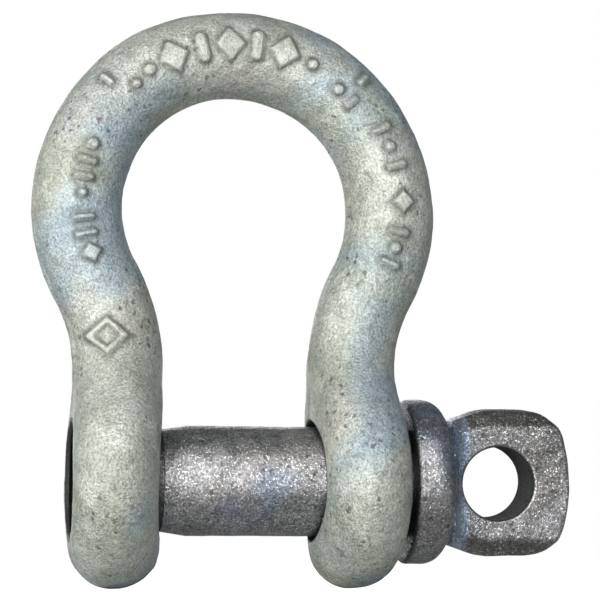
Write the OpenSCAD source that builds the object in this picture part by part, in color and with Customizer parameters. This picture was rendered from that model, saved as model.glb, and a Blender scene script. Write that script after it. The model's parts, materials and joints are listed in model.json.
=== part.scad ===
// Bow shackle with a screw pin: a forged bow with two ears, and a pin with a collar and an eye head.
// Millimetres. The pin lies along X with its head at +X, and the crown of the bow is at +Z.
// The origin is on the pin's axis, halfway between the ears.

/* [Bow] */
// Thickness of the round bar
bar_d = 12.9; // [12.6:0.1:13.1]
// Radius of the crown, to the middle of the bar
crown_r = 23.4; // [22.5:0.1:25]
// Height of the crown's centre above the pin's axis
crown_z = 40; // [38:0.5:46]
// Radius of the reverse bend between the crown and a leg, to the middle of the bar
waist_r = 28; // [24:0.5:32]
// Width of the jaw between the ears
jaw_w = 21.5; // [20:0.1:23]

/* [Ears] */
// Outside diameter of an ear
ear_d = 30.8; // [29.5:0.1:32]
// Thickness of an ear
ear_t = 13.3; // [13.2:0.1:14]
// Radius that rounds the rim of an ear
rim_r = 6.2; // [5.5:0.1:6.3]
// Diameter of the plain hole in the ear at the head's end
plain_hole_d = 17.6; // [17.4:0.1:18.2]
// Diameter of the hole in the other ear, over the roots of its thread
thread_hole_d = 16.2; // [16:0.1:16.8]

/* [Pin] */
// Diameter of the smooth shank
pin_d = 15.88; // [15:0.01:16]
// Diameter over the crests of the pin's thread
thread_d = 15.6; // [15:0.1:15.6]
// Pitch of the thread
pitch = 2.31; // [1.5:0.01:2.5]
// Length of the cone where the shank narrows to the thread
cone_l = 4; // [3:0.5:6]
// How far the pin's tip stops short of the ear's outer face
tip_recess = 1.9; // [0.5:0.1:3]

/* [Collar and head] */
// Diameter of the collar
collar_d = 24; // [22:0.5:26]
// Thickness of the collar
collar_w = 6; // [5:0.5:7]
// Gap between the collar and the ear
collar_gap = 0.6; // [0.3:0.1:1]
// Diameter of the neck between the collar and the head
neck_d = 17.4; // [16.5:0.1:18]
// Distance from the pin's origin to the centre of the eye
eye_x = 38.4; // [38:0.1:40]
// Diameter of the eye
eye_d = 10.6; // [9:0.1:11.5]
// Height of the head
head_h = 21.4; // [20:0.1:23]
// Thickness of the head
head_t = 8.4; // [7.5:0.1:9]
// Angle by which the tightened pin has turned its head out of upright
head_turn = 5; // [-10:1:10]

/* [Hidden] */
$fn = 64;
big = 60;
// How far parts of one piece reach into each other
lap_l = 1;

// Bow
bar_r = bar_d / 2;
leg_x = jaw_w / 2 + bar_r;
waist_angle = acos((waist_r + leg_x) / (crown_r + waist_r));
waist_x = waist_r + leg_x;
waist_z = crown_z - (crown_r + waist_r) * sin(waist_angle);
bend_step = 0.03;
bend_lap = 1;

// Ears
ear_x = (jaw_w + ear_t) / 2;
ear_face_x = jaw_w / 2 + ear_t;
ring_r = ear_d / 2 - rim_r;
fork_rise = 3.5;
fork_z = waist_z + fork_rise;
fork_angle = acos(ring_r / fork_z);
fork_slim = 0.7;
fork_d = bar_d - fork_slim;
web_inset = 0.2;
web_t = fork_d - 2 * web_inset;
leg_end_z = 4;

// Pin, with distances along X and radii about it
thread_r = thread_d / 2;
thread_depth = 0.61 * pitch;
root_r = thread_r - thread_depth;
undercut_r = 7;
undercut_w = 1;
cone_recess = 0.4;
cone_start_x = cone_l - jaw_w / 2 - cone_recess;
cone_end_x = cone_start_x - cone_l;
tip_x = -ear_face_x + tip_recess;
thread_end_x = cone_end_x - undercut_w;
tip_w = 1.4;
tip_inset = 0.6;
turns = floor((thread_end_x - tip_x - tip_w) / pitch);
collar_x = ear_face_x + collar_gap;
collar_end_x = collar_x + collar_w;
collar_edge_r = 0.8;
collar_back_r = 3.3;

// Head, seen from its flat side
fillet_r = 3.2;
neck_w = 0.2;
flat_x = collar_end_x + neck_w + fillet_r;
eye_to_end = 10.9;
head_end_x = eye_x + eye_to_end;
corner_r = 3.4;
eye_to_shoulder = 1;
shoulder_x = eye_x - eye_to_shoulder;
neck_step = 0.3;
bulge_r = 24;
bevel_y = 1.9;
bevel_z = 2.4;
bevel_margin = 0.05;
eye_bevel = 0.5;

// Lays a part that was drawn upright along the X axis
module along_x() rotate([0, 90, 0]) children();

// Part of a ring of round bar in the XZ plane, from one angle, measured from +X towards +Z, to another
module bar_arc(centre_x, centre_z, ring_radius, bar_radius, from, to)
    translate([centre_x, 0, centre_z])
        rotate([90, 0, 0])
            rotate([0, 0, from])
                rotate_extrude(angle = to - from)
                    translate([ring_radius, 0])
                        circle(r = bar_radius);

// Crown, reverse bends and legs, as one round bar. The bends are a hair thicker and lap over both
// neighbours, so that the three lengths join into one solid
module bent_bar() {
    bar_arc(0, crown_z, crown_r, bar_r, -waist_angle, 180 + waist_angle);
    bar_arc(waist_x, waist_z, waist_r, bar_r + bend_step, 180 - waist_angle - bend_lap, 180 + bend_lap);
    bar_arc(-waist_x, waist_z, waist_r, bar_r + bend_step, -bend_lap, waist_angle + bend_lap);
    for (side = [-1, 1])
        translate([side * leg_x, 0, leg_end_z])
            cylinder(h = waist_z - leg_end_z, r = bar_r);
}

// Half section of an ear: a rectangle with its two outer corners rounded
module ear_section() {
    translate([0, -ear_t / 2])
        square([ring_r, ear_t]);
    translate([0, rim_r - ear_t / 2])
        square([ear_d / 2, ear_t - 2 * rim_r]);
    for (end = [-1, 1])
        translate([ring_r, end * (ear_t / 2 - rim_r)])
            circle(r = rim_r);
}

// Solid disc with a rounded rim, centred on the X axis
module ear_disc()
    along_x()
        rotate_extrude()
            ear_section();

// The leg forks into two round ribs with a web between them, which spread it to the ear's width
module fork() {
    for (side = [-1, 1])
        translate([0, side * ring_r * sin(fork_angle), ring_r * cos(fork_angle)])
            rotate([side * (90 - fork_angle), 0, 0])
                cylinder(h = fork_z * sin(fork_angle), d = fork_d);
    rotate([90, 0, 90])
        translate([0, 0, -web_t / 2])
            linear_extrude(web_t)
                polygon([
                    [0, fork_z],
                    [-ring_r * sin(fork_angle), ring_r * cos(fork_angle)],
                    [ring_r * sin(fork_angle), ring_r * cos(fork_angle)]
                ]);
}

// The forged bow, with a threaded hole at -X and a plain one at +X
module bow()
    color([0.68, 0.69, 0.66])
        difference() {
            union() {
                bent_bar();
                for (side = [-1, 1])
                    translate([side * ear_x, 0, 0])
                        ear_disc();
                for (side = [-1, 1])
                    translate([side * leg_x, 0, 0])
                        fork();
            }
            along_x()
                cylinder(h = big, d = plain_hole_d);
            along_x()
                translate([0, 0, -big])
                    cylinder(h = big, d = thread_hole_d);
        }

// Outline of the pin's threaded end, cone and shank, as points of radius and distance along the pin
function thread_ridges() = [
    for (turn = [0 : turns - 1])
        for (half = [0, 1])
            [half == 0 ? root_r : thread_r, tip_x + tip_w + (turn + half / 2) * pitch]
];

// Tip, thread, undercut, cone and shank
module shank()
    rotate_extrude()
        polygon(concat(
            [[0, tip_x], [root_r - tip_inset, tip_x], [thread_r, tip_x + tip_w / 2]],
            thread_ridges(),
            [
                [root_r, tip_x + tip_w + turns * pitch],
                [undercut_r, thread_end_x],
                [undercut_r, cone_end_x],
                [pin_d / 2, cone_start_x],
                [pin_d / 2, collar_x + lap_l],
                [0, collar_x + lap_l]
            ]
        ));

// Collar with a small round edge towards the ear and a large one towards the head
module collar() {
    edge_ring_r = collar_d / 2 - collar_edge_r;
    back_ring_r = collar_d / 2 - collar_back_r;
    flat_w = collar_w - collar_back_r;
    rotate_extrude()
        union() {
            translate([0, collar_x])
                square([back_ring_r, collar_w]);
            translate([0, collar_x])
                square([edge_ring_r, flat_w]);
            translate([0, collar_x + collar_edge_r])
                square([collar_d / 2, flat_w - collar_edge_r]);
            translate([edge_ring_r, collar_x + collar_edge_r])
                circle(r = collar_edge_r);
            translate([back_ring_r, collar_x + flat_w])
                circle(r = collar_back_r);
        }
}

// What is hollowed out of one flat side of the neck, in the XY plane
module neck_hollow() {
    translate([flat_x, head_t / 2 + fillet_r])
        circle(r = fillet_r);
    translate([flat_x - fillet_r, head_t / 2 + fillet_r])
        square([big, big]);
    translate([flat_x, head_t / 2])
        square([big, big]);
}

// Round neck that runs into the head, hollowed on both flat sides down to the head's thickness
module neck()
    difference() {
        translate([collar_end_x - 2 * lap_l, 0, 0])
            along_x()
                cylinder(h = flat_x + 2 * lap_l - collar_end_x, d = neck_d);
        for (side = [0, 1])
            mirror([0, side, 0])
                translate([0, 0, -big / 2])
                    linear_extrude(big)
                        neck_hollow();
    }

// Outline of the head in the XZ plane: it widens from the neck, and its end bulges between round corners
module head_outline()
    intersection() {
        union() {
            polygon([
                [collar_end_x - lap_l, neck_step - neck_d / 2],
                [shoulder_x, -head_h / 2],
                [head_end_x - corner_r, -head_h / 2],
                [head_end_x - corner_r, head_h / 2],
                [shoulder_x, head_h / 2],
                [collar_end_x - lap_l, neck_d / 2 - neck_step]
            ]);
            for (side = [-1, 1])
                translate([head_end_x - corner_r, side * (head_h / 2 - corner_r)])
                    circle(r = corner_r);
            translate([head_end_x - corner_r - lap_l, corner_r - head_h / 2])
                square([corner_r + lap_l, head_h - 2 * corner_r]);
        }
        translate([head_end_x - bulge_r, 0])
            circle(r = bulge_r);
    }

// Section of the head across the pin: a flat bar with a bevel along each long edge
module head_section() {
    y0 = head_t / 2;
    z0 = head_h / 2 + bevel_margin;
    polygon([
        [y0, bevel_z - z0],
        [y0, z0 - bevel_z],
        [y0 - bevel_y, z0],
        [bevel_y - y0, z0],
        [-y0, z0 - bevel_z],
        [-y0, bevel_z - z0],
        [bevel_y - y0, -z0],
        [y0 - bevel_y, -z0]
    ]);
}

// The flattened head before its eye is drilled
module head()
    intersection() {
        rotate([90, 0, 0])
            translate([0, 0, -head_t])
                linear_extrude(2 * head_t)
                    head_outline();
        rotate([90, 0, 90])
            linear_extrude(big)
                head_section();
    }

// The pin, drawn with its head upright and then turned to where tightening leaves it
module screw_pin()
    color([0.5, 0.5, 0.51])
        rotate([head_turn, 0, 0])
            difference() {
                union() {
                    along_x()
                        shank();
                    along_x()
                        collar();
                    neck();
                    head();
                }
                translate([eye_x, 0, 0])
                    rotate([90, 0, 0])
                        cylinder(h = big, d = eye_d, center = true);
                for (side = [-1, 1])
                    translate([eye_x, side * head_t / 2, 0])
                        rotate([side * 90, 0, 0])
                            cylinder(h = 2 * eye_bevel, r1 = eye_d / 2 + 2 * eye_bevel,
                                     r2 = eye_d / 2, center = true);
            }

bow();
screw_pin();
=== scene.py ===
"""Bow shackle: a forged, galvanised bow and its screw pin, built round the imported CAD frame.

Lengths are in millimetres until a mesh is made. +X runs along the pin to its head, +Z to the crown,
and the front is -Y. Each piece is one closed skin: rays leave a line inside the solid and stop where
a distance function, which describes the forging, is zero. Holes are then cut out of the skin.
"""

import json
import math

import bmesh
import bpy
import numpy as np
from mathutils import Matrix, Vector


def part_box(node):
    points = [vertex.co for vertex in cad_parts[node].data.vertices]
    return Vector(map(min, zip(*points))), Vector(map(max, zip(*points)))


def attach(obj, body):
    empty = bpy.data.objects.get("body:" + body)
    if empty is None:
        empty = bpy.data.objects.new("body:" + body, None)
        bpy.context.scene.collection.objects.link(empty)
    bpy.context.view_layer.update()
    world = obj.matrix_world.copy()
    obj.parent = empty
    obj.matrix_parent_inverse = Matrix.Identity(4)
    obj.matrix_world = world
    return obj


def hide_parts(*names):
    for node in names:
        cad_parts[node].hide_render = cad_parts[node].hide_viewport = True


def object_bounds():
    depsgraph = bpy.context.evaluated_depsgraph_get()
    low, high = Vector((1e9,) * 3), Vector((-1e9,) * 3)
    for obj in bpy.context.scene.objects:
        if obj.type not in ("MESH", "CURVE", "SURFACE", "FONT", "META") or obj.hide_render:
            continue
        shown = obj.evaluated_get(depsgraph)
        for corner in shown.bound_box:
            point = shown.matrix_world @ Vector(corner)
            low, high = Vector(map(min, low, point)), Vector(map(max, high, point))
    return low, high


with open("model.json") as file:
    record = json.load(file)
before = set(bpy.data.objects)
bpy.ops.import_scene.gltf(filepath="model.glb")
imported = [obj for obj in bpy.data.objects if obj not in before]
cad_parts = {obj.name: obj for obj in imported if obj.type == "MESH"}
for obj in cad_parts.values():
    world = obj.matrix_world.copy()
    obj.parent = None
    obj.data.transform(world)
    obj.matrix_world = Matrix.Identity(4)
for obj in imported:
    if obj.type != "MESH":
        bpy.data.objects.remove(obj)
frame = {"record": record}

CAD_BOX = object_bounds()
MM = 0.001
TAU = 2 * math.pi

# ---------------------------------------------------------------- sizes, from the frame

bow_low, bow_high = (np.array(corner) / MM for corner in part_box("bow"))
pin_low, pin_high = (np.array(corner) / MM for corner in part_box("screw_pin"))
mounts = {mount["name"]: mount for mount in frame["record"]["mounts"]}

BAR_R = 6.45  # the round bar at the crown
LEG_BAR_R = 6.25  # the bar where the forging draws it thinner above the ears
CROWN_R = bow_high[0] - BAR_R
CROWN_Z = bow_high[2] - CROWN_R - BAR_R
WAIST_R = 28.0
LEG_X = 17.2
EAR_X = 17.4
EAR_R = -bow_low[2]
EAR_HALF_T = 6.6
RIM_R = 6.2
PLAIN_HOLE_R = 8.8
THREAD_HOLE_R = 8.05

SHANK_R = mounts["pin_shank"]["dims"]["r_mm"]
EYE_R = mounts["pin_eye"]["dims"]["r_mm"]
EYE_X = mounts["pin_eye"]["pos_m"][0] / MM
EYE_AXIS = mounts["pin_eye"]["axis"]
HEAD_TURN = math.atan2(-EYE_AXIS[2], -EYE_AXIS[1])
TIP_X = pin_low[0]
HEAD_END_X = pin_high[0]
PITCH = 2.31
CONE_START_X = -7.15
CONE_END_X = -11.15
COLLAR_X = EAR_X + 6.65 + 0.6
COLLAR_W = 6.0
COLLAR_R = 12.0
NECK_R = 8.7
HEAD_HALF_T = 4.2
HEAD_HALF_H = 10.7


# ---------------------------------------------------------------- shaping helpers

def smoothstep(x, start, end):
    t = np.clip((x - start) / (end - start), 0, 1)
    return t * t * (3 - 2 * t)


def smooth_min(a, b, blend):
    h = np.clip(0.5 + 0.5 * (b - a) / blend, 0, 1)
    return b * (1 - h) + a * h - blend * h * (1 - h)


def smooth_max(a, b, blend):
    return -smooth_min(-a, -b, blend)


def waves(points, length, seed, count=14):
    """Smooth uneven field of about -1 to 1 whose bumps are about one length across."""
    rng = np.random.default_rng(seed)
    total = np.zeros(points.shape[:-1])
    for _ in range(count):
        direction = rng.normal(size=3)
        direction *= TAU / (length * rng.uniform(1.2, 2.6)) / np.linalg.norm(direction)
        total += np.sin(points @ direction + rng.uniform(0, TAU))
    return total / math.sqrt(count)


def cast(solid, origins, directions, reach):
    """How far along each ray the solid's distance function first reaches zero from inside."""
    low = np.zeros(origins.shape[:-1])
    high = np.full(origins.shape[:-1], float(reach))
    for _ in range(26):
        middle = (low + high) / 2
        inside = solid(origins + directions * middle[..., None]) < 0
        low = np.where(inside, middle, low)
        high = np.where(inside, high, middle)
    return origins + directions * low[..., None]


def normals_of(solid, points):
    step = 0.02
    slopes = []
    for axis in range(3):
        offset = np.zeros(3)
        offset[axis] = step
        slopes.append(solid(points + offset) - solid(points - offset))
    normal = np.stack(slopes, axis=-1)
    return normal / np.maximum(np.linalg.norm(normal, axis=-1, keepdims=True), 1e-9)


def grid_mesh(name, rings, shades=None):
    """Closed skin over a stack of rings of points, with a pole at each end. Points are in millimetres.
    shades names per-point values from 0 to 1 that the materials read. The skin is made of triangles,
    because scraps of larger faces, left where a hole is cut, would join badly when they are exported."""
    count, around = rings.shape[:2]
    poles = [rings[0].mean(axis=0), rings[-1].mean(axis=0)]
    points = np.concatenate([rings.reshape(-1, 3), poles]) * MM
    first = np.arange(count - 1)[:, None] * around
    here = np.arange(around)[None, :]
    after = (here + 1) % around
    quads = np.stack([first + here, first + after, first + around + after, first + around + here], axis=-1)
    start_pole, end_pole = count * around, count * around + 1
    last = (count - 1) * around
    faces = quads.reshape(-1, 4).tolist()
    faces += [[start_pole, (i + 1) % around, i] for i in range(around)]
    faces += [[end_pole, last + i, last + (i + 1) % around] for i in range(around)]
    mesh = bpy.data.meshes.new(name)
    mesh.from_pydata(points.tolist(), [], faces)
    for shade, values in (shades or {}).items():
        flat = np.concatenate([values.reshape(-1), values[0, :1], values[-1, :1]])
        layer = mesh.attributes.new(shade, "FLOAT", "POINT")
        layer.data.foreach_set("value", flat.astype(np.float32))
    facing = bmesh.new()
    facing.from_mesh(mesh)
    bmesh.ops.triangulate(facing, faces=facing.faces)
    bmesh.ops.recalc_face_normals(facing, faces=facing.faces)
    facing.to_mesh(mesh)
    facing.free()
    piece = bpy.data.objects.new(name, mesh)
    bpy.context.scene.collection.objects.link(piece)
    return piece


def apply_modifier(piece, modifier):
    bpy.context.view_layer.objects.active = piece
    bpy.ops.object.modifier_apply(modifier=modifier.name)


def cut(piece, cutter):
    """Takes the cutter out of the piece and deletes it."""
    hole = piece.modifiers.new("hole", "BOOLEAN")
    hole.operation = "DIFFERENCE"
    hole.solver = "MANIFOLD"
    hole.object = cutter
    apply_modifier(piece, hole)
    bpy.data.objects.remove(cutter)


def finish_surface(piece, material, sharp_deg=38):
    piece.data.materials.clear()
    piece.data.materials.append(material)
    piece.data.shade_smooth()
    piece.data.set_sharp_from_angle(angle=math.radians(sharp_deg))


def turned(name, profile, axis_point, axis, around=160, swirl=None):
    """Solid of revolution about an axis. profile lists distance along the axis and radius. swirl adds to
    the radius a function of distance along the axis and angle, which is how a thread is cut."""
    axis = np.array(axis, float)
    side = np.cross(axis, [0.0, 0.0, 1.0])
    side /= np.linalg.norm(side)
    up = np.cross(side, axis)
    angle = np.arange(around) / around * TAU
    along = np.array([p[0] for p in profile])[:, None]
    radius = np.array([p[1] for p in profile])[:, None] + np.zeros((1, around))
    if swirl is not None:
        radius = radius + swirl(along, angle[None, :])
    rings = (
        np.array(axis_point)
        + along[..., None] * axis
        + (radius * np.cos(angle))[..., None] * side
        + (radius * np.sin(angle))[..., None] * up
    )
    return grid_mesh(name, rings)


# ---------------------------------------------------------------- bow

WAIST_ANGLE = math.acos((WAIST_R + LEG_X) / (CROWN_R + WAIST_R))
WAIST_X = WAIST_R + LEG_X
WAIST_Z = CROWN_Z - (CROWN_R + WAIST_R) * math.sin(WAIST_ANGLE)
FLARE = 9.0  # how widely a leg spreads into its ear
JAW_DRAFT = 0.14  # slope of an ear's inner face away from the middle plane, as it left the die
JAW_SIDE = (1.5, -5.0)  # distances outwards from the leg's middle where the draft starts and is full
LEAN_END_Z = 4.0  # where a leg stops leaning out towards its ear
THICKENS_Z = (24.0, 44.0)  # where the bar grows from the legs' size to the crown's
EAR_Z = (22.0, 2.0)  # where a leg turns into its ear
BOW_REACH = 24.0  # longer than any ray inside the bow
BOW_AROUND = 124
BOW_STEP = 0.36
FRONT_CROWDING = 0.45  # how much closer together the rays are on the front
CAP_Z = -4.0  # where the rays of an ear's underside start
CAP_ROWS = 44


def leg_centre(z):
    return LEG_X + (EAR_X - LEG_X) * smoothstep(z, WAIST_Z, LEAN_END_Z)


def spine_distance(x, z):
    """Distance, in the plane of the bow, from the middle line of the bar."""
    x = np.abs(x)
    crown = np.abs(np.hypot(x, z - CROWN_Z) - CROWN_R)
    waist = np.abs(np.hypot(x - WAIST_X, z - WAIST_Z) - WAIST_R)
    leg = np.abs(x - leg_centre(z))
    on_crown = np.arctan2(z - CROWN_Z, x) > -WAIST_ANGLE
    return np.where(z < WAIST_Z, leg, np.where(on_crown, crown, waist))


def bow_solid(points):
    """Distance function of the forged bow without its holes. The outline is what the bow shows from the
    side: a strip that flares into a disc. Its edge is rounded until the strip is a round bar."""
    x, y, z = np.moveaxis(points, -1, 0)
    bar_r = LEG_BAR_R + (BAR_R - LEG_BAR_R) * smoothstep(z, *THICKENS_Z)
    to_ear = smoothstep(z, *EAR_Z)
    half_t = bar_r + (EAR_HALF_T - bar_r) * to_ear
    rim = bar_r + (RIM_R - bar_r) * to_ear
    strip = np.where(z > 0, np.abs(y), np.hypot(y, z)) - bar_r
    outline = smooth_min(strip, np.hypot(y, z) - EAR_R, FLARE)
    jaw_side = smoothstep(np.abs(x) - leg_centre(z), *JAW_SIDE)
    draft = JAW_DRAFT * np.abs(y) * to_ear * jaw_side
    across = spine_distance(x, z) - half_t + rim + draft
    edge = outline + rim
    rounded = np.hypot(np.maximum(across, 0), np.maximum(edge, 0))
    return rounded + np.minimum(np.maximum(across, edge), 0) - rim


def bow_spine():
    """Ray origins up the right leg and over to the crown's top, each with its outward direction."""
    rows = []
    for z in np.arange(CAP_Z, WAIST_Z, BOW_STEP):
        rows.append((leg_centre(z), z, 1.0, 0.0))
    count = int(WAIST_R * WAIST_ANGLE / BOW_STEP)
    for a in np.linspace(math.pi, math.pi - WAIST_ANGLE, count, endpoint=False):
        c, s = math.cos(a), math.sin(a)
        rows.append((WAIST_X + WAIST_R * c, WAIST_Z + WAIST_R * s, -c, -s))
    count = int(CROWN_R * (WAIST_ANGLE + math.pi / 2) / BOW_STEP)
    for a in np.linspace(-WAIST_ANGLE, math.pi / 2, count, endpoint=False):
        c, s = math.cos(a), math.sin(a)
        rows.append((CROWN_R * c, CROWN_Z + CROWN_R * s, c, s))
    return rows


def bow_rays():
    """Origins and directions of every ray, as rings from the right ear's underside over to the left's."""
    t = (np.arange(BOW_AROUND) + 0.5) / BOW_AROUND * TAU - math.pi
    angle = t - FRONT_CROWDING * np.sin(t)  # the front carries the raised marks
    tilts = [row / CAP_ROWS * math.pi / 2 for row in reversed(range(1, CAP_ROWS))]
    rows = [(EAR_X, CAP_Z, 1.0, 0.0, tilt) for tilt in tilts]
    rows += [(x, z, out_x, out_z, 0.0) for x, z, out_x, out_z in bow_spine()]
    mirrored = [(-x, z, -out_x, out_z, tilt) for x, z, out_x, out_z, tilt in reversed(rows)]
    rows += [(0.0, CROWN_Z + CROWN_R, 0.0, 1.0, 0.0)] + mirrored
    x, z, out_x, out_z, tilt = np.array(rows).T[:, :, None]
    side, front = np.sin(angle) * np.cos(tilt), np.cos(angle) * np.cos(tilt)
    rays = np.stack([out_x * side, -front, out_z * side - np.sin(tilt)], axis=-1)
    origins = np.stack([x + 0 * side, 0 * side, z + 0 * side], axis=-1)
    return origins, rays


def mark_bar(u, v, length, width, turn_deg=0.0):
    """Distance from a raised bar with round ends, along u before it is turned."""
    c, s = math.cos(math.radians(turn_deg)), math.sin(math.radians(turn_deg))
    along, across = u * c + v * s, v * c - u * s
    beyond = np.maximum(np.abs(along) - (length - width) / 2, 0)
    return np.hypot(beyond, across) - width / 2


def mark_pip(u, v, size):
    return np.hypot(u, v) - size / 2


def mark_lozenge(u, v, length, width):
    return (np.abs(u) / length + np.abs(v) / width - 0.5) * min(length, width) / 1.3


def mark_frame(u, v, length, width, line_w):
    return np.abs(mark_lozenge(u, v, length, width)) - line_w / 2


# Plain forge marks on the front of the bow. Each has its angle on the crown's arc in degrees, how far out
# it sits from the bar's middle, and its shape: a plain bar, pip or lozenge.
MARKS = [
    (132, -0.4, lambda u, v: mark_pip(u, v, 1.2)),
    (125, 0.1, lambda u, v: mark_pip(u, v, 1.6)),
    (115, 0.2, lambda u, v: mark_lozenge(u, v, 4.4, 5.2)),
    (104, 0.3, lambda u, v: mark_bar(u, v, 4.6, 1.5, 90)),
    (94, 0.3, lambda u, v: mark_lozenge(u, v, 4.4, 5.2)),
    (84, 0.3, lambda u, v: mark_bar(u, v, 4.6, 1.5, 90)),
    (74, 0.2, lambda u, v: mark_lozenge(u, v, 4.4, 5.2)),
    (63, 0.1, lambda u, v: mark_pip(u, v, 1.5)),
    (46, 3.4, lambda u, v: mark_bar(u, v, 2.4, 0.8, 90)),
    (138, 3.2, lambda u, v: mark_bar(u, v, 2.6, 0.8, 90)),
    (160, -0.3, lambda u, v: mark_pip(u, v, 1.7)),
    (166, -0.3, lambda u, v: mark_bar(u, v, 2.8, 0.9, 90)),
    (172, -0.3, lambda u, v: mark_bar(u, v, 2.8, 0.9, 90)),
    (178, -0.3, lambda u, v: mark_pip(u, v, 1.1)),
    (187, -0.4, lambda u, v: mark_bar(u, v, 3.2, 0.9, 90)),
    (193, -0.4, lambda u, v: mark_bar(u, v, 3.2, 0.9, 90)),
    (200, -0.4, lambda u, v: mark_lozenge(u, v, 2.8, 3.0)),
    (50, -0.8, lambda u, v: mark_pip(u, v, 1.6)),
    (43, -0.8, lambda u, v: mark_bar(u, v, 2.4, 0.8, 90)),
    (29, 0.6, lambda u, v: mark_bar(u, v, 3.0, 0.9, 90)),
    (22, 0.6, lambda u, v: mark_pip(u, v, 1.4)),
    (15, 0.6, lambda u, v: mark_bar(u, v, 3.0, 0.9, 90)),
    (2, 0.8, lambda u, v: mark_lozenge(u, v, 3.0, 3.2)),
    (-9, 0.4, lambda u, v: mark_bar(u, v, 2.9, 0.9, 90)),
    (-15, 0.3, lambda u, v: mark_pip(u, v, 1.5)),
    (-21, 0.2, lambda u, v: mark_bar(u, v, 2.9, 0.9, 90)),
]
MARK_H = 0.52
MARK_EDGE = 0.28
MARK_REACH = 5.0  # no mark is larger than this from its middle
MARKED_Y = -1.5  # the marks are only in front of this
LOW_MARK = (-19.3, 20.2)  # x and z of the lozenge frame on the left leg
LOW_MARK_SIZE = (5.0, 4.4, 0.8)  # length, width and width of its line
FAR = 9.0  # stands for no mark near
HALO_FROM, HALO_TO = 1.3, 0.1  # distances from a mark between which dirt gathers
HALO_DEPTH = 0.06

# Unevenness of the bow and of the pin: height, length and seed of each size of bump.
BOW_BUMPS = [(0.10, 13.0, 1), (0.04, 4.5, 2), (0.016, 1.7, 3), (0.010, 0.8, 6)]
PIN_FORGED_BUMPS = [(0.09, 7.0, 31), (0.035, 2.6, 32)]
PIN_FINE_BUMPS = [(0.012, 1.3, 33)]
BOW_LUMPS = {"count": 90, "seed": 4, "size": 0.9, "height": 0.10}
PIN_LUMPS = {"count": 60, "seed": 34, "size": 0.8, "height": 0.08}

SEAM_H = 0.26  # the trimmed flash, where the two dies met
SEAM_HALF_W = 1.05
SEAM_START_Z = (11.0, 18.0)  # it fades in above the ears


def mark_distance(points):
    """Distance from the nearest forge mark, measured over the front of the bar."""
    x, y, z = np.moveaxis(points, -1, 0)
    radius = np.hypot(x, z - CROWN_Z)
    out = radius - CROWN_R
    angle = np.degrees(np.arctan2(z - CROWN_Z, x))
    angle = np.where(angle < -90, angle + 360, angle)
    nearest = np.full(x.shape, FAR)
    for mark_angle, mark_out, shape in MARKS:
        u = np.radians(mark_angle - angle) * CROWN_R
        v = BAR_R * np.arcsin(np.clip(out / BAR_R, -1, 1)) - mark_out
        near = (np.abs(u) < MARK_REACH) & (np.abs(v) < MARK_REACH)
        nearest[near] = np.minimum(nearest[near], shape(u[near], v[near]))
    frame_x, frame_z = LOW_MARK
    nearest = np.minimum(nearest, mark_frame(x - frame_x, z - frame_z, *LOW_MARK_SIZE))
    return np.where(y < MARKED_Y, nearest, FAR)


def lumps(points, count, seed, size, height):
    """Drips and grains of zinc, as low round bumps at seeded places on the skin."""
    rng = np.random.default_rng(seed)
    flat = points.reshape(-1, 3)
    raised = np.zeros(len(flat))
    for centre in flat[rng.integers(0, len(flat), count)]:
        spread = size * rng.uniform(0.5, 1.3)
        squared = ((flat - centre) ** 2).sum(axis=1)
        raised += height * rng.uniform(-0.5, 1.0) * np.exp(-squared / spread ** 2)
    return raised.reshape(points.shape[:-1])


def bumps(points, sizes):
    """Uneven height made of several sizes of waves."""
    return sum(height * waves(points, length, seed) for height, length, seed in sizes)


def seam_height(skin):
    """From 0 to about 1 on the seam round the middle plane of the bow, a little wavy and broken."""
    wander = 0.25 * waves(skin, 8.0, 22)
    seam = np.exp(-((skin[..., 1] + wander) / SEAM_HALF_W) ** 6)
    broken = 0.75 + 0.25 * waves(skin, 9.0, 21)
    return seam * (broken * smoothstep(skin[..., 2], *SEAM_START_Z))


def make_bow(material):
    origins, rays = bow_rays()
    skin = cast(bow_solid, origins, rays, BOW_REACH)
    normal = normals_of(bow_solid, skin)
    gap = mark_distance(skin)
    raised = smoothstep(gap, MARK_EDGE, -MARK_EDGE)
    halo = smoothstep(gap, HALO_FROM, HALO_TO) * (1 - raised)
    worn = 0.9 + 0.15 * waves(skin, 3.0, 5)
    height = bumps(skin, BOW_BUMPS) + lumps(skin, **BOW_LUMPS)
    height += MARK_H * raised * worn + SEAM_H * seam_height(skin) - HALO_DEPTH * halo
    rings = skin + normal * height[..., None]
    bow = grid_mesh("forged_bow", rings, {"raised": raised, "halo": halo})
    for side, hole_r in ((1, PLAIN_HOLE_R), (-1, THREAD_HOLE_R)):
        cut(bow, hole_cutter(side, hole_r))
    finish_surface(bow, material)
    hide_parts("bow")
    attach(bow, "bow")


HOLE_EDGE = 0.7
THREAD_HOLE_EDGE = 0.9
EYE_EDGE = 0.55
EAR_THREAD_DEPTH = 0.85
OVERSHOOT = 2.0  # how far a cutter sticks out of the ear it cuts
EYE_OVERSHOOT = 3.0  # and out of the head
CUT_STEP = 0.11


def mouth(depth, radius):
    """How much a hole widens at a depth below its face, where its edge is rounded off."""
    inside = np.clip(depth, 0, radius)
    return radius - math.sqrt(radius ** 2 - (radius - inside) ** 2)


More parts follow.
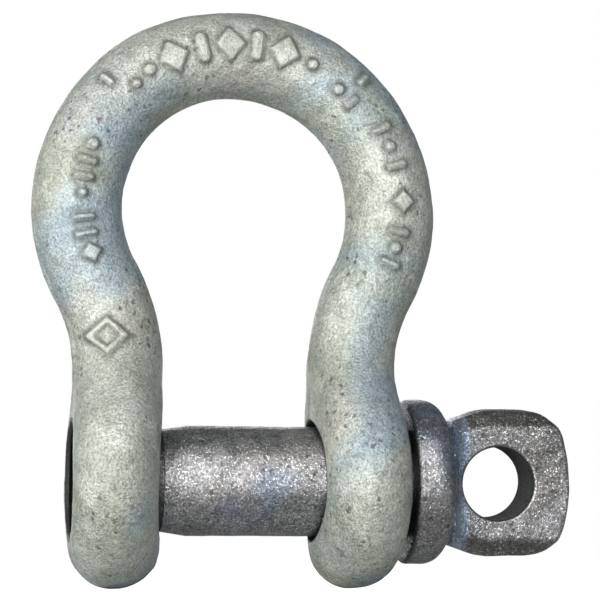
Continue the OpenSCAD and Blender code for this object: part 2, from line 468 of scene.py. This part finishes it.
def hole_cutter(side, hole_r):
    """Solid that drills one ear along X. The ear at -X gets a thread too."""
    threaded = side < 0
    edge = THREAD_HOLE_EDGE if threaded else HOLE_EDGE
    inner, outer = EAR_X - EAR_HALF_T, EAR_X + EAR_HALF_T
    profile = [(inner - OVERSHOOT, hole_r + edge)]
    for x in np.arange(inner, outer + 0.01, CUT_STEP):
        profile.append((x, hole_r + mouth(min(x - inner, outer - x), edge)))
    profile.append((outer + OVERSHOOT, hole_r + edge))
    groove = thread_groove(EAR_THREAD_DEPTH, inner + edge, outer - edge) if threaded else None
    return turned("cutter", profile, (0, 0, 0), (side, 0, 0), swirl=groove)


def thread_groove(depth, start, end):
    """Depth of a helical V groove at a distance along the axis and an angle about it."""
    def swirl(along, angle):
        phase = np.mod(along / PITCH + angle / TAU, 1.0)
        vee = np.clip(np.abs(2 * phase - 1) * 1.35 - 0.2, 0, 1)
        fade = smoothstep(along, start - 0.5, start + 0.4) * smoothstep(along, end + 0.5, end - 0.4)
        return depth * vee * fade
    return swirl


# ---------------------------------------------------------------- screw pin

PIN_AROUND = 192
THREAD_CREST_R = 7.75
THREAD_DEPTH = 1.2
UNDERCUT_R = 7.05
CONE_R = 7.35
COLLAR_EDGE_R = 0.8
COLLAR_BACK_R = 3.3
NECK_X = COLLAR_X + COLLAR_W
FILLET_L = 3.2
FLAT_X = NECK_X + 0.2 + FILLET_L
SHOULDER_X = EYE_X - 1.0
BEVEL_Y = 1.9  # how far the bevels of the long edges come down the head's thickness
BEVEL_Z = 2.4  # and across its flat
HEAD_CAP_X = HEAD_END_X - 6.0  # where the rays of the head's end start
END_BULGE_R = 24.0
END_CORNER = 4.2  # how round the corners of the head's end are
HEAD_REACH = 16.0  # longer than any ray inside the head
HEAD_STEP = 0.2
HEAD_CAP_ROWS = 50
CENTRE_RIDGE_H = 0.09  # the seam on the pin's head
THREAD_RUNOUT = 1.3  # the thread stops this far from the tip and from the cone


def line(start, end, spacing):
    """Points from one profile corner to just before the next."""
    length = math.dist(start, end)
    count = max(1, round(length / spacing))
    return [tuple(np.array(start) + (np.array(end) - np.array(start)) * i / count) for i in range(count)]


def arc(centre, radius, start_deg, end_deg, spacing):
    count = max(2, round(abs(math.radians(end_deg - start_deg)) * radius / spacing))
    angles = [math.radians(start_deg + (end_deg - start_deg) * i / count) for i in range(count)]
    return [(centre[0] + radius * math.cos(a), centre[1] + radius * math.sin(a)) for a in angles]


def pin_profile():
    """Half section of the pin's round part, as distance along X and radius, from its tip to its neck."""
    root_r = THREAD_CREST_R - THREAD_DEPTH
    edge_x, back_x = COLLAR_X + COLLAR_EDGE_R, NECK_X - COLLAR_BACK_R
    edge_r, back_r = COLLAR_R - COLLAR_EDGE_R, COLLAR_R - COLLAR_BACK_R
    corners = [
        (TIP_X, 0.4), (TIP_X, root_r - 0.9), (TIP_X + 0.9, root_r), (CONE_END_X - 1.0, root_r),
        (CONE_END_X - 0.8, UNDERCUT_R), (CONE_END_X, UNDERCUT_R), (CONE_END_X + 0.1, CONE_R),
        (CONE_START_X, SHANK_R), (COLLAR_X, SHANK_R), (COLLAR_X, edge_r),
    ]
    spacings = [0.6, 0.2, 0.12, 0.1, 0.12, 0.1, 0.3, 0.3, 0.3]
    points = []
    for start, end, spacing in zip(corners, corners[1:], spacings):
        points += line(start, end, spacing)
    points += arc((edge_x, edge_r), COLLAR_EDGE_R, 180, 90, 0.15)
    points += line((edge_x, COLLAR_R), (back_x, COLLAR_R), 0.25)
    points += arc((back_x, back_r), COLLAR_BACK_R, 90, 0, 0.25)
    return points


def head_solid(points):
    """Distance function of the neck and head: a round bar hammered flat, with bevelled long edges, a bulging
    end and round corners."""
    x, y, z = np.moveaxis(points, -1, 0)
    deep, high = np.abs(y), np.abs(z)
    half_h = NECK_R + (HEAD_HALF_H - NECK_R) * smoothstep(x, NECK_X - 1.5, SHOULDER_X)
    into_fillet = np.clip((FLAT_X - x) / FILLET_L, 0, 1)
    half_t = HEAD_HALF_T + (NECK_R + 0.3 - HEAD_HALF_T) * (1 - np.sqrt(1 - into_fillet ** 2))
    flat = deep - half_t
    bevel = (deep - half_t) * BEVEL_Z + (high - half_h + BEVEL_Z) * BEVEL_Y
    bevel = bevel / math.hypot(BEVEL_Y, BEVEL_Z)
    end = x + z ** 2 / (2 * END_BULGE_R) - HEAD_END_X
    outline = smooth_max(high - half_h, end, END_CORNER)
    plate = smooth_max(smooth_max(flat, bevel, 0.15), outline, 0.6)
    round_r = NECK_R + 1.5 * np.maximum(x - NECK_X - 0.2, 0)
    return smooth_max(plate, np.hypot(y, z) - round_r, 0.5)


def head_rays(angle):
    xs = np.arange(NECK_X + 0.12, HEAD_CAP_X, HEAD_STEP)
    tilts = np.arange(HEAD_CAP_ROWS) / HEAD_CAP_ROWS * math.pi / 2
    start_x = np.concatenate([xs, np.full(len(tilts), HEAD_CAP_X)])[:, None]
    tilt = np.concatenate([np.zeros(len(xs)), tilts])[:, None]
    rays = np.stack([
        np.sin(tilt) + 0 * angle, np.cos(tilt) * np.cos(angle), np.cos(tilt) * np.sin(angle)
    ], axis=-1)
    origins = np.stack([start_x + 0 * angle, 0 * start_x + 0 * angle, 0 * start_x + 0 * angle], axis=-1)
    return origins, rays


def pin_shades(skin, normal, on_flat):
    """Where the pin gets painted shade in front of the collar, and where it is threaded, bevelled, filleted
    or flat, from 0 to 1.
    """
    x = skin[..., 0]
    off_middle = np.hypot(skin[..., 1], skin[..., 2])
    # painted shade on the collar's face, in the gap against the ear
    by_collar = np.exp(-(((x - COLLAR_X + 0.2) / 0.7) ** 2))
    bevel = smoothstep(np.abs(normal[..., 2]), 0.25, 0.55) * on_flat
    fillet = smoothstep(x, NECK_X - 0.6, NECK_X + 0.4) * smoothstep(x, FLAT_X + 0.3, FLAT_X - 0.6)
    return {
        "gap_shade": by_collar * smoothstep(off_middle, SHANK_R - 1.0, SHANK_R),
        "thread": smoothstep(x, CONE_END_X + 0.15, CONE_END_X - 0.15),
        "bevel": bevel,
        "fillet": fillet,
        "flat": on_flat * (1 - bevel),
    }


def make_pin(material):
    angle = np.arange(PIN_AROUND)[None, :] / PIN_AROUND * TAU
    profile = np.array(pin_profile())
    along, radius = profile[:, :1], profile[:, 1:]
    groove = thread_groove(THREAD_DEPTH, TIP_X + THREAD_RUNOUT, CONE_END_X - THREAD_RUNOUT)
    radius = radius + groove(along, angle)
    shaft = np.stack([along + 0 * angle, radius * np.cos(angle), radius * np.sin(angle)], axis=-1)
    level = 0 * radius
    shaft_normal = np.stack([level, np.cos(angle) + level, np.sin(angle) + level], axis=-1)
    origins, rays = head_rays(angle)
    head = cast(head_solid, origins, rays, HEAD_REACH)
    skin = np.concatenate([shaft, head])
    normal = np.concatenate([shaft_normal, normals_of(head_solid, head)])
    forged = 0.25 + 0.75 * smoothstep(skin[..., 0], COLLAR_X - 0.5, COLLAR_X + 1.5)
    on_flat = smoothstep(skin[..., 0], NECK_X, FLAT_X)
    height = forged * bumps(skin, PIN_FORGED_BUMPS) + bumps(skin, PIN_FINE_BUMPS)
    height += lumps(skin, **PIN_LUMPS) * forged
    height += CENTRE_RIDGE_H * on_flat * np.exp(-(skin[..., 1] / 0.6) ** 4)
    rings = skin + normal * height[..., None]
    pin = grid_mesh("screw_pin_forging", turned_pin(rings), pin_shades(skin, normal, on_flat))
    cut(pin, eye_cutter())
    finish_surface(pin, material)
    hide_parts("screw_pin")
    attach(pin, "screw_pin")


def turned_pin(points):
    """Turns the whole pin about X to where tightening leaves it."""
    c, s = math.cos(HEAD_TURN), math.sin(HEAD_TURN)
    x, y, z = np.moveaxis(points, -1, 0)
    return np.stack([x, y * c - z * s, y * s + z * c], axis=-1)


def eye_cutter():
    profile = [(-HEAD_HALF_T - EYE_OVERSHOOT, EYE_R + EYE_EDGE)]
    for d in np.linspace(-HEAD_HALF_T, HEAD_HALF_T, 60):
        profile.append((d, EYE_R + mouth(HEAD_HALF_T - abs(d), EYE_EDGE)))
    profile.append((HEAD_HALF_T + EYE_OVERSHOOT, EYE_R + EYE_EDGE))
    return turned("cutter", profile, (EYE_X, 0, 0), EYE_AXIS)


# ---------------------------------------------------------------- materials

def add(tree, kind, inputs=None, **settings):
    """Adds a shader node. Its inputs are numbers and colours, or the sockets they are linked to."""
    node = tree.nodes.new(kind)
    for setting, value in settings.items():
        setattr(node, setting, value)
    for name, value in (inputs or {}).items():
        if isinstance(value, bpy.types.NodeSocket):
            tree.links.new(value, node.inputs[name])
        else:
            node.inputs[name].default_value = value
    return node


def noise(tree, where, scale, detail=3.0, rough=0.55, twist=0.0):
    inputs = {"Vector": where, "Scale": scale, "Detail": detail, "Roughness": rough, "Distortion": twist}
    return add(tree, "ShaderNodeTexNoise", inputs).outputs[0]


def between(tree, value, low, high, out_low=0.0, out_high=1.0):
    """Soft step of a value from low to high, as a number from out_low to out_high."""
    inputs = {"Value": value, "From Min": low, "From Max": high, "To Min": out_low, "To Max": out_high}
    return add(tree, "ShaderNodeMapRange", inputs, interpolation_type="SMOOTHSTEP").outputs[0]


def math_of(tree, operation, a, b):
    return add(tree, "ShaderNodeMath", {0: a, 1: b}, operation=operation).outputs[0]


def mixed(tree, factor, a, b, blend="MIX"):
    inputs = {0: factor, 6: a, 7: b}
    return add(tree, "ShaderNodeMix", inputs, data_type="RGBA", blend_type=blend).outputs[2]


def shade_of(tree, name):
    return add(tree, "ShaderNodeAttribute", attribute_name=name).outputs["Fac"]


def rgb(r, g, b):
    return (r, g, b, 1.0)


def start_material(name):
    material = bpy.data.materials.new(name)
    material.use_nodes = True
    tree = material.node_tree
    where = add(tree, "ShaderNodeTexCoord").outputs["Object"]
    return material, tree, tree.nodes["Principled BSDF"], where


def times(tree, a, b):
    return math_of(tree, "MULTIPLY", a, b)


def tinted(tree, colour, mask, amount, tint):
    """Mixes a tint into a colour where a mask is 1, by an amount."""
    return mixed(tree, times(tree, mask, amount), colour, rgb(*tint))


def specks(tree, where, scale, size, crowd_scale, crowd_low):
    """Scattered small uneven spots that gather where a slow noise is high."""
    wobble = {"Vector": where, "Scale": scale * 2.2, "Detail": 2.0}
    shove = add(tree, "ShaderNodeTexNoise", wobble).outputs["Color"]
    shove = add(tree, "ShaderNodeVectorMath", {0: shove, "Scale": 0.9 / scale}, operation="SCALE").outputs[0]
    moved = add(tree, "ShaderNodeVectorMath", {0: where, 1: shove}, operation="ADD").outputs[0]
    spots = add(tree, "ShaderNodeTexVoronoi", {"Vector": moved, "Scale": scale, "Randomness": 1.0})
    small = between(tree, spots.outputs["Distance"], size, size * 0.3)
    pick = add(tree, "ShaderNodeSeparateColor", {0: spots.outputs["Color"]}).outputs[0]
    chosen = between(tree, pick, 0.45, 0.75)
    crowd = between(tree, noise(tree, where, crowd_scale, detail=2.0), crowd_low, crowd_low + 0.12)
    return times(tree, times(tree, small, chosen), crowd)


def toned(tree, colour, value, low, high, dark, light):
    """Multiplies a colour by a grey that goes from dark to light as the value goes from low to high."""
    grey = between(tree, value, low, high, dark, light)
    return add(tree, "ShaderNodeVectorMath", {0: colour, 1: grey}, operation="MULTIPLY").outputs[0]


def off_axis(tree, where, centre_x, axis):
    """Distance in metres from the line through (centre_x, 0, 0) along a unit axis."""
    centre = (centre_x, 0, 0)
    moved = add(tree, "ShaderNodeVectorMath", {0: where, 1: centre}, operation="SUBTRACT").outputs[0]
    flat = add(tree, "ShaderNodeVectorMath", {0: moved, 1: axis}, operation="CROSS_PRODUCT").outputs[0]
    return add(tree, "ShaderNodeVectorMath", {0: flat}, operation="LENGTH").outputs["Value"]


def roughened(tree, shader, height, distance):
    """Bumps the surface by a height that a distance in metres scales."""
    bump = add(tree, "ShaderNodeBump", {"Height": height, "Strength": 1.0, "Distance": distance})
    tree.links.new(bump.outputs[0], shader.inputs["Normal"])


BOW_DULL, BOW_PALE = (0.39, 0.425, 0.365), (0.56, 0.58, 0.53)
BOW_WARM, BOW_BLUE = (0.50, 0.485, 0.435), (0.36, 0.44, 0.50)
BOW_PIT, BOW_STAIN, BOW_RUST = (0.07, 0.07, 0.065), (0.17, 0.175, 0.15), (0.16, 0.06, 0.02)
# the bore colour is painted shade on the walls of the ear holes; the dirt and the wear are the zinc's own
BOW_DIRT, BOW_WORN, BOW_BORE_SHADE = (0.10, 0.105, 0.09), (0.55, 0.56, 0.52), (0.035, 0.035, 0.035)
BORE_DARK_FROM, BORE_DARK_TO = 9.15 * MM, 8.75 * MM
BOW_METALLIC = 0.45
BOW_RELIEF = 0.00016

PIN_DULL, PIN_PALE = (0.29, 0.29, 0.29), (0.49, 0.485, 0.495)
PIN_WARM, PIN_BLUE = (0.38, 0.35, 0.31), (0.26, 0.31, 0.40)
# both colours here stand in for light: the bevels browner and painted darker as shade, the fillet a painted
# bluish reflection
PIN_BEVEL_SHADE, PIN_FILLET_REFLECTION = (0.15, 0.14, 0.115), (0.50, 0.60, 0.76)
PIN_PIT, PIN_GLINT = (0.05, 0.05, 0.05), (0.95, 0.95, 0.97)
# both colours here are painted shade, nearly black: on the eye's wall, and in the collar's gap and over the
# thread inside the ear's hole
PIN_EYE_SHADE, PIN_GAP_SHADE = (0.05, 0.055, 0.05), (0.05, 0.05, 0.05)
EYE_DARK_FROM, EYE_DARK_TO = (EYE_R + 0.35) * MM, (EYE_R + 0.12) * MM
PIN_METALLIC = 0.95
PIN_RELIEF = 0.00015


def bow_zinc():
    """Weathered hot-dip zinc: pale grey-green, clouded with blue and warm patches, full of fine grain and
    dark pits, dirty round the raised marks, painted dark as shade in the holes, and worn bright on top of the
    marks."""
    material, tree, shader, where = start_material("weathered_zinc")
    clouds = between(tree, noise(tree, where, 95.0, detail=5.0, rough=0.62, twist=0.4), 0.36, 0.64)
    colour = mixed(tree, clouds, rgb(*BOW_DULL), rgb(*BOW_PALE))
    warm = between(tree, noise(tree, where, 60.0, detail=4.0, rough=0.6), 0.50, 0.70, out_high=0.8)
    colour = mixed(tree, warm, colour, rgb(*BOW_WARM))
    drifts = noise(tree, where, 42.0, detail=3.0, rough=0.5, twist=0.5)
    blue = between(tree, drifts, 0.50, 0.64, out_high=0.85)
    colour = mixed(tree, blue, colour, rgb(*BOW_BLUE))
    mottle = noise(tree, where, 380.0, detail=6.0, rough=0.72, twist=0.3)
    colour = toned(tree, colour, mottle, 0.34, 0.66, dark=0.83, light=1.12)
    grain = noise(tree, where, 3000.0, detail=3.0, rough=0.7)
    colour = toned(tree, colour, grain, 0.32, 0.68, dark=0.62, light=1.28)
    pits = specks(tree, where, 950.0, size=0.42, crowd_scale=130.0, crowd_low=0.45)
    colour = tinted(tree, colour, pits, 0.75, BOW_PIT)
    runs = noise(tree, where, 260.0, detail=6.0, rough=0.7, twist=1.6)
    stain = between(tree, runs, 0.585, 0.70, out_high=0.6)
    colour = mixed(tree, stain, colour, rgb(*BOW_STAIN))
    rust = specks(tree, where, 190.0, size=0.16, crowd_scale=55.0, crowd_low=0.56)
    colour = tinted(tree, colour, rust, 0.85, BOW_RUST)
    halo = toned(tree, shade_of(tree, "halo"), mottle, 0.35, 0.6, dark=0.35, light=0.95)
    colour = mixed(tree, halo, colour, rgb(*BOW_DIRT))
    colour = tinted(tree, colour, shade_of(tree, "raised"), 0.35, BOW_WORN)
    # painted shade: the walls of the ear holes are painted nearly black
    bore_shade = between(tree, off_axis(tree, where, 0.0, (1, 0, 0)), BORE_DARK_FROM, BORE_DARK_TO)
    colour = mixed(tree, bore_shade, colour, rgb(*BOW_BORE_SHADE))
    tree.links.new(colour, shader.inputs["Base Color"])
    rough = math_of(tree, "ADD", between(tree, clouds, 0.0, 1.0, 0.38, 0.28), times(tree, grain, 0.24))
    tree.links.new(rough, shader.inputs["Roughness"])
    shader.inputs["Metallic"].default_value = BOW_METALLIC
    peel = noise(tree, where, 1000.0, detail=2.0, rough=0.5)
    relief = math_of(tree, "ADD", times(tree, grain, 1.1), times(tree, mottle, 0.9))
    relief = math_of(tree, "ADD", relief, times(tree, peel, 1.1))
    relief = math_of(tree, "SUBTRACT", relief, times(tree, pits, 0.6))
    roughened(tree, shader, relief, BOW_RELIEF)
    return material


def pin_zinc():
    """Darker, shinier zinc over machined and forged steel, with a fine sparkling grain. The head's bevels
    are browner and painted darker as shade, its flat is painted darker as shade, the fillet behind it has a
    painted bluish reflection, and the eye's wall, the collar's gap and the thread are painted dark as shade."""
    material, tree, shader, where = start_material("grainy_zinc")
    clouds = between(tree, noise(tree, where, 120.0, detail=5.0, rough=0.62, twist=0.5), 0.36, 0.64)
    colour = mixed(tree, clouds, rgb(*PIN_DULL), rgb(*PIN_PALE))
    warm = between(tree, noise(tree, where, 75.0, detail=4.0, rough=0.6), 0.50, 0.68, out_high=0.5)
    colour = mixed(tree, warm, colour, rgb(*PIN_WARM))
    blue = between(tree, noise(tree, where, 52.0, detail=3.0, rough=0.5, twist=0.5), 0.52, 0.68, out_high=0.7)
    colour = mixed(tree, blue, colour, rgb(*PIN_BLUE))
    # painted shade: the head's flat is painted darker than the rest of the pin
    colour = toned(tree, colour, shade_of(tree, "flat"), 0.0, 1.0, dark=1.0, light=0.68)
    # the bevels are browner, and painted darker as shade
    colour = tinted(tree, colour, shade_of(tree, "bevel"), 0.65, PIN_BEVEL_SHADE)
    # painted bluish reflection on the fillet behind the head
    colour = tinted(tree, colour, shade_of(tree, "fillet"), 0.7, PIN_FILLET_REFLECTION)
    mottle = noise(tree, where, 620.0, detail=6.0, rough=0.75, twist=0.3)
    colour = toned(tree, colour, mottle, 0.32, 0.68, dark=0.76, light=1.16)
    grain = noise(tree, where, 2800.0, detail=3.0, rough=0.75)
    colour = toned(tree, colour, grain, 0.32, 0.68, dark=0.45, light=1.55)
    pits = specks(tree, where, 800.0, size=0.42, crowd_scale=150.0, crowd_low=0.46)
    colour = tinted(tree, colour, pits, 0.7, PIN_PIT)
    glints = specks(tree, where, 2300.0, size=0.45, crowd_scale=260.0, crowd_low=0.34)
    colour = tinted(tree, colour, glints, 0.85, PIN_GLINT)
    # painted shade: the eye's wall is painted nearly black
    eye = between(tree, off_axis(tree, where, EYE_X * MM, EYE_AXIS), EYE_DARK_FROM, EYE_DARK_TO)
    colour = tinted(tree, colour, eye, 0.9, PIN_EYE_SHADE)
    # painted shade, nearly black: in the collar's gap, and over the thread, which sits in the ear's hole
    gap_shade = math_of(tree, "MAXIMUM", shade_of(tree, "gap_shade"), shade_of(tree, "thread"))
    colour = tinted(tree, colour, gap_shade, 0.85, PIN_GAP_SHADE)
    tree.links.new(colour, shader.inputs["Base Color"])
    rough = math_of(tree, "ADD", between(tree, grain, 0.35, 0.65, 0.38, 0.20), times(tree, clouds, 0.05))
    rough = math_of(tree, "MAXIMUM", rough, times(tree, eye, 0.95))
    tree.links.new(rough, shader.inputs["Roughness"])
    shader.inputs["Metallic"].default_value = PIN_METALLIC
    relief = math_of(tree, "ADD", grain, times(tree, mottle, 0.5))
    relief = math_of(tree, "SUBTRACT", relief, times(tree, pits, 0.5))
    roughened(tree, shader, relief, PIN_RELIEF)
    return material


# ---------------------------------------------------------------- stage

CENTRE = (Vector(CAD_BOX[0]) + Vector(CAD_BOX[1])) / 2
FLOOR_GREY = 0.56
WORLD_COLOUR = (0.93, 0.97, 1)
WORLD_LIGHT = 0.20
WHITE, CREAM, SKY = (1.0, 1.0, 1.0), (1.0, 1.0, 0.97), (0.72, 0.86, 1.0)

# Name, azimuth and elevation in degrees, distance and size in metres, watts, colour.
LIGHTS = [
    ("key", -42, 11, 0.65, 0.26, 2.8, CREAM),
    ("front", -2, 11, 0.65, 0.15, 2.15, WHITE),
    ("side", -78, 8, 0.65, 0.45, 1.7, CREAM),
    ("fill", 65, -3, 0.7, 0.40, 0.30, SKY),
    ("back", 180, 6, 0.65, 0.40, 1.1, WHITE),
]

CAMERA_AT = (-43.5, -283.6, -11.5)
CAMERA_UP_DEG = 8.94
CAMERA_RIGHT_DEG = 9.22
LENS_MM = 117.85
SHIFT_X, SHIFT_Y = 0.08, -0.08


def make_floor():
    """Pale floor that is white to the eye only, so that it meets the white behind it."""
    bpy.ops.mesh.primitive_plane_add(size=6.0, location=(0, 0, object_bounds()[0][2]))
    floor = bpy.context.object
    floor.name = "floor"
    material, tree, shader, _ = start_material("pale_floor")
    shader.inputs["Base Color"].default_value = rgb(FLOOR_GREY, FLOOR_GREY, FLOOR_GREY)
    shader.inputs["Roughness"].default_value = 0.9
    shader.inputs["Emission Color"].default_value = rgb(1, 1, 1)
    to_camera = add(tree, "ShaderNodeLightPath").outputs["Is Camera Ray"]
    tree.links.new(math_of(tree, "MULTIPLY", to_camera, 1.0), shader.inputs["Emission Strength"])
    floor.data.materials.append(material)


def make_world():
    """White to the eye, and a dimmer grey as a light, so that the round bars keep their dark edges."""
    world = bpy.data.worlds.new("studio")
    bpy.context.scene.world = world
    world.use_nodes = True
    tree = world.node_tree
    seen = add(tree, "ShaderNodeBackground", {"Color": rgb(1, 1, 1), "Strength": 1.0}).outputs[0]
    dim = {"Color": rgb(*WORLD_COLOUR), "Strength": WORLD_LIGHT}
    lighting = add(tree, "ShaderNodeBackground", dim).outputs[0]
    to_camera = add(tree, "ShaderNodeLightPath").outputs["Is Camera Ray"]
    both = add(tree, "ShaderNodeMixShader", {0: to_camera, 1: lighting, 2: seen}).outputs[0]
    tree.links.new(both, tree.nodes["World Output"].inputs["Surface"])


def make_light(name, azimuth_deg, elevation_deg, distance, size, watts, colour):
    """Area light that looks at the object's middle. Azimuth 0 is in front, and grows to the right."""
    azimuth, elevation = math.radians(azimuth_deg), math.radians(elevation_deg)
    flat = math.cos(elevation)
    towards = Vector((flat * math.sin(azimuth), -flat * math.cos(azimuth), math.sin(elevation)))
    lamp = bpy.data.lights.new(name, "AREA")
    lamp.size = size
    lamp.energy = watts
    lamp.color = colour
    light = bpy.data.objects.new(name, lamp)
    light.location = CENTRE + towards * distance
    light.rotation_euler = towards.to_track_quat("Z", "Y").to_euler()
    light.visible_camera = False
    bpy.context.scene.collection.objects.link(light)


def make_camera():
    """The photograph's view: close, low and slightly from the left, looking up."""
    lens = bpy.data.cameras.new("camera")
    lens.sensor_width = 36.0
    lens.lens = LENS_MM
    lens.shift_x = SHIFT_X
    lens.shift_y = SHIFT_Y
    lens.clip_start = 0.005
    camera = bpy.data.objects.new("camera", lens)
    camera.location = Vector(CAMERA_AT) * MM
    camera.rotation_euler = (math.radians(90 + CAMERA_UP_DEG), 0, math.radians(-CAMERA_RIGHT_DEG))
    bpy.context.scene.collection.objects.link(camera)
    bpy.context.scene.camera = camera
    bpy.context.scene.view_settings.view_transform = "Standard"


make_bow(bow_zinc())
make_pin(pin_zinc())
make_floor()
make_world()
for light in LIGHTS:
    make_light(*light)
make_camera()
